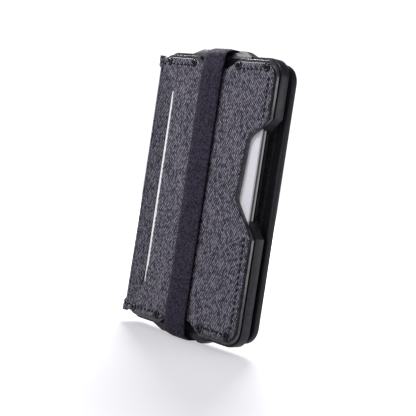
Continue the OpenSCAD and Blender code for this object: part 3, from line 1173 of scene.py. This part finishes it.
headShape, cupShape = makeScrewShapes()
screwPlaces = []
for x in front["screwX"]:
    for side in (-1, 1):
        heading = Vector((math.cos(x + side), 0, math.sin(x + side)))
        screwPlaces.append((at(x, screw["y"], side * front["screwZ"]), heading, Vector((0, -1, 0))))
for name, shape, look, node in (
    ("frontScrews", headShape, "screw", "front_screws"),
    ("screwCups", cupShape, "cup", "screw_cups"),
):
    setOut(name, screwPlaces, shape, finish[look], "chassis", "screw_black", [node])

stitch = {
    "long": 1.5, "gap": 0.62, "radius": 0.42, "proud": 0.14, "rings": 7, "sides": 8,
    "taper": 0.35, "flatten": 0.8, "rise": 0.10, "dive": 0.42,
    "screwClear": 2.3, "cornerClear": 3.0,
}


# One stitch is a short thread that dives at both ends
def makeStitchShape():
    s = stitch
    verts, faces = [], []
    for k in range(s["rings"]):
        t = -1 + 2 * k / (s["rings"] - 1)
        radius = s["radius"] * (1 - s["taper"] * t * t)
        for i in range(s["sides"]):
            a = 2 * math.pi * i / s["sides"]
            verts.append((
                t * s["long"] / 2 * mm, radius * math.cos(a) * mm,
                (radius * math.sin(a) * s["flatten"] + s["rise"] - s["dive"] * t ** 4) * mm,
            ))
    for k in range(s["rings"] - 1):
        for i in range(s["sides"]):
            j = (i + 1) % s["sides"]
            a, b = k * s["sides"], (k + 1) * s["sides"]
            faces.append((a + i, a + j, b + j, b + i))
    faces.append(tuple(reversed(range(s["sides"]))))
    faces.append(tuple((s["rings"] - 1) * s["sides"] + i for i in range(s["sides"])))
    shape = newPiece("stitchShape", verts, faces)
    outwards(shape)
    return shape


stitchShape = makeStitchShape()


# Stitches from one point to another, in x and z, on a face given by a function
def stitchRow(start, end, faceAt, facing, skip=None):
    a, b = Vector(start), Vector(end)
    pitch = stitch["long"] + stitch["gap"]
    count = max(1, int((b - a).length / pitch))
    ahead = (b - a).normalized()
    places = []
    for i in range(count):
        x, z = a.lerp(b, (i + 0.5) / count)
        if skip and skip(x, z):
            continue
        y = faceAt(x, z) + stitch["proud"] * facing
        places.append((at(x, y, z), Vector((ahead.x, 0, ahead.y)), Vector((0, facing, 0))))
    return places


def nearScrew(x, z):
    clear = stitch["screwClear"]
    return any(math.hypot(x - s, abs(z) - front["screwZ"]) < clear for s in front["screwX"])


def frontStitches():
    f = front
    places = []
    for side in (-1, 1):
        z = side * f["seamZ"]
        for a, b in ((-30.8, -28.6), (-25.0, -14.0), (14.0, 25.0)):
            places += stitchRow((a, z), (b, z), frontSurface, -1, nearScrew)
    places += stitchRow((f["seamX"], 45.3), (f["seamX"], 30.0), frontSurface, -1)
    places += stitchRow((f["seamX"], -11.5), (f["seamX"], -45.3), frontSurface, -1)
    return places


def leafStitches():
    inset = leaf["seamIn"]
    right, top = leafHigh.x - inset, leafHigh.z - inset
    corner = stitch["cornerClear"]
    places = stitchRow((-30, top), (right - corner, top), leafBackSurface, 1)
    places += stitchRow((-30, -top), (right - corner, -top), leafBackSurface, 1)
    places += stitchRow((right, top - corner), (right, corner - top), leafBackSurface, 1)
    return places


def pocketStitches():
    places = []
    for node in ("leaf_pocket_high", "leaf_pocket_mid", "leaf_pocket_low"):
        low, high = span(node)
        for x in (low.x + pocket["sewnAt"], high.x - pocket["sewnAt"]):
            bottom = high.z - pocket["sewnRun"] if node != "leaf_pocket_low" else low.z + 1.5
            places += stitchRow((x, high.z - 1), (x, bottom), lambda a, b: low.y + 0.05, -1)
        z = high.z - pocket["rowDown"]
        mid = (low.x + high.x) / 2
        for a, b in ((low.x + 2, mid - 12), (mid + 12, high.x - 2)):
            places += stitchRow((a, z), (b, z), lambda c, d: low.y, -1)
    return places


def hemStitches(mirrored):
    places = []
    pitch = stitch["long"] + stitch["gap"]
    total = wrapProfile(0, 1)[4]
    count = int(total / pitch)
    for side in (-1, 1):
        z = side * wrap["stitchZ"]
        for i in range(count):
            x, y, nx, ny = wrapProfile(z, (i + 0.5) / count)[:4]
            x, y = x + nx * wrap["stitchOut"], y + ny * wrap["stitchOut"]
            flip = -1 if mirrored else 1
            if mirrored:
                y = 2 * spineMidY - y
            places.append((at(x, y, z), Vector((ny, -nx * flip, 0)), Vector((nx, ny * flip, 0))))
    return places


setOut("frontStitches", frontStitches(), stitchShape, finish["thread"], "chassis", "elastic_webbing")
setOut("leafStitches", leafStitches(), stitchShape, finish["thread"], "leaf", "elastic_webbing")
setOut("pocketStitches", pocketStitches(), stitchShape, finish["thread"], "leaf", "elastic_webbing")


# Stitches over a fold, taken off their body and left where they are made
def foldStitches(name, mirrored, bodies):
    piece = setOut(
        name, hemStitches(mirrored), stitchShape, finish["thread"], bodies[0], "elastic_webbing",
    )
    piece.parent = None
    del piece["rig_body"]
    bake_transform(piece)


foldStitches("hemStitchesFront", False, ("chassis", "spine"))
foldStitches("hemStitchesBack", True, ("spine", "leaf"))
for shape in (headShape, cupShape, stitchShape):
    bpy.data.objects.remove(shape)
print("screws and stitches made")


# ---- floor, light and camera ----

stage = {
    "size": 6.0, "colour": (0.45, 0.45, 0.47), "glow": 0.70, "farGlow": 1.0,
    "speck": (0.47, 0.47, 0.49), "tint": (0.965, 0.96, 1.0),
    "bounce": 0.30, "shadow": 0.75, "shadowReach": 0.05,
    "backdrop": (0.955, 0.95, 1), "skyLight": 0.16, "skySeen": 1.15,
}


def makeFloor():
    size = stage["size"]
    floor = newPiece(
        "floor",
        [(-size, -size, 0), (size, -size, 0), (size, size, 0), (-size, size, 0)], [(0, 1, 2, 3)],
    )
    material, t, shader = newMaterial("floorPaper")
    place = t.node("ShaderNodeTexCoord").outputs["Object"]
    grain = useGroup(t, grainGroup, place, Fine=900.0, Broad=4.0)
    tone = t.mix(grain["Marks"], (*stage["colour"], 1), (*stage["speck"], 1))
    t.link(tone, shader.inputs["Base Color"])
    shader.inputs["Roughness"].default_value = 0.75
    shader.inputs["Emission Color"].default_value = (*stage["tint"], 1)
    away = t.node("ShaderNodeVectorMath", operation="LENGTH")
    t.link(place, away.inputs[0])
    # The floor's glow for the camera is painted dimmer near the wallet and darker again by ambient
    # occlusion, a painted contact shadow; other rays see a weaker glow that lights the wallet as bounce
    glow = t.range(away.outputs["Value"], 0.10, 0.40, stage["glow"], stage["farGlow"])
    near = t.node("ShaderNodeAmbientOcclusion")
    near.inputs["Distance"].default_value = stage["shadowReach"]
    shade = t.range(near.outputs["AO"], 0.3, 1.0, stage["shadow"], 1.0)
    seen = t.node("ShaderNodeLightPath").outputs["Is Camera Ray"]
    strength = t.range(seen, 0, 1, stage["bounce"], t.math("MULTIPLY", glow, shade))
    t.link(strength, shader.inputs["Emission Strength"])
    dressed(floor, material)


def makeWorld():
    world = bpy.data.worlds.new("studio")
    bpy.context.scene.world = world
    world.use_nodes = True
    t = Tree(world.node_tree)
    backdrop = world.node_tree.nodes["Background"]
    seen = t.node("ShaderNodeLightPath").outputs["Is Camera Ray"]
    strength = t.range(seen, 0, 1, stage["skyLight"], stage["skySeen"])
    t.link(strength, backdrop.inputs["Strength"])
    backdrop.inputs["Color"].default_value = (*stage["backdrop"], 1)


# A light falls either on the wallet or on the floor, so the floor keeps one soft shadow
def makeLight(name, place, target, size, power, floorState):
    data = bpy.data.lights.new(name, "AREA")
    data.shape = "RECTANGLE"
    data.size, data.size_y = size
    data.energy = power
    light = bpy.data.objects.new(name, data)
    bpy.context.scene.collection.objects.link(light)
    light.location = place
    light.visible_camera = False
    group = bpy.data.collections.new(name + "Falls")
    group.objects.link(bpy.data.objects["floor"])
    group.collection_objects[0].light_linking.link_state = floorState
    light.light_linking.receiver_collection = group
    light.rotation_euler = (Vector(target) - Vector(place)).to_track_quat("-Z", "Y").to_euler()


lights = {
    "keyLeft": ((-0.15, -0.32, 0.32), (0.14, 0.14), 0.92, "wallet"),
    "edgeLeft": ((-0.56, 0.07, 0.60), (0.28, 0.28), 9.0, "wallet"),
    "backPanel": ((-0.60, 0.55, 0.10), (0.60, 0.50), 2.2, "wallet"),
    "frontFill": ((0.10, -0.9, 0.30), (0.5, 0.5), 0.9, "wallet"),
    "edgeRight": ((0.46, -0.50, 0.06), (0.08, 0.36), 0.32, "wallet"),
    "sideRight": ((0.52, 0.50, 0.08), (0.20, 0.30), 0.5, "wallet"),
    "behind": ((-0.60, 0.54, 0.48), (0.40, 0.40), 12.0, "floor"),
}
makeFloor()
makeWorld()
for name, (place, size, power, fallsOn) in lights.items():
    state = "INCLUDE" if fallsOn == "floor" else "EXCLUDE"
    makeLight(name, place, (0, 0, 0.055), size, power, state)

# The camera stands off to the front right, a little above the middle, and leans
view = {
    "place": at(310.3, -276.7, 16.6),
    "ahead": Vector((-0.73842, 0.67242, -0.05099)),
    "up": Vector((-0.13805, -0.07672, 0.98745)),
    "lens": 97.5, "sensor": 36, "clip": (0.01, 50),
}


def makeCamera():
    data = bpy.data.cameras.new("camera")
    data.lens = view["lens"]
    data.sensor_width = view["sensor"]
    camera = bpy.data.objects.new("camera", data)
    bpy.context.scene.collection.objects.link(camera)
    back = -view["ahead"].normalized()
    right = view["up"].cross(back).normalized()
    turn = Matrix((right, back.cross(right), back)).transposed()
    camera.matrix_world = Matrix.Translation(view["place"]) @ turn.to_4x4()
    data.clip_start, data.clip_end = view["clip"]
    bpy.context.scene.camera = camera


makeCamera()
bpy.context.scene.view_settings.view_transform = "Standard"
print("stage made")
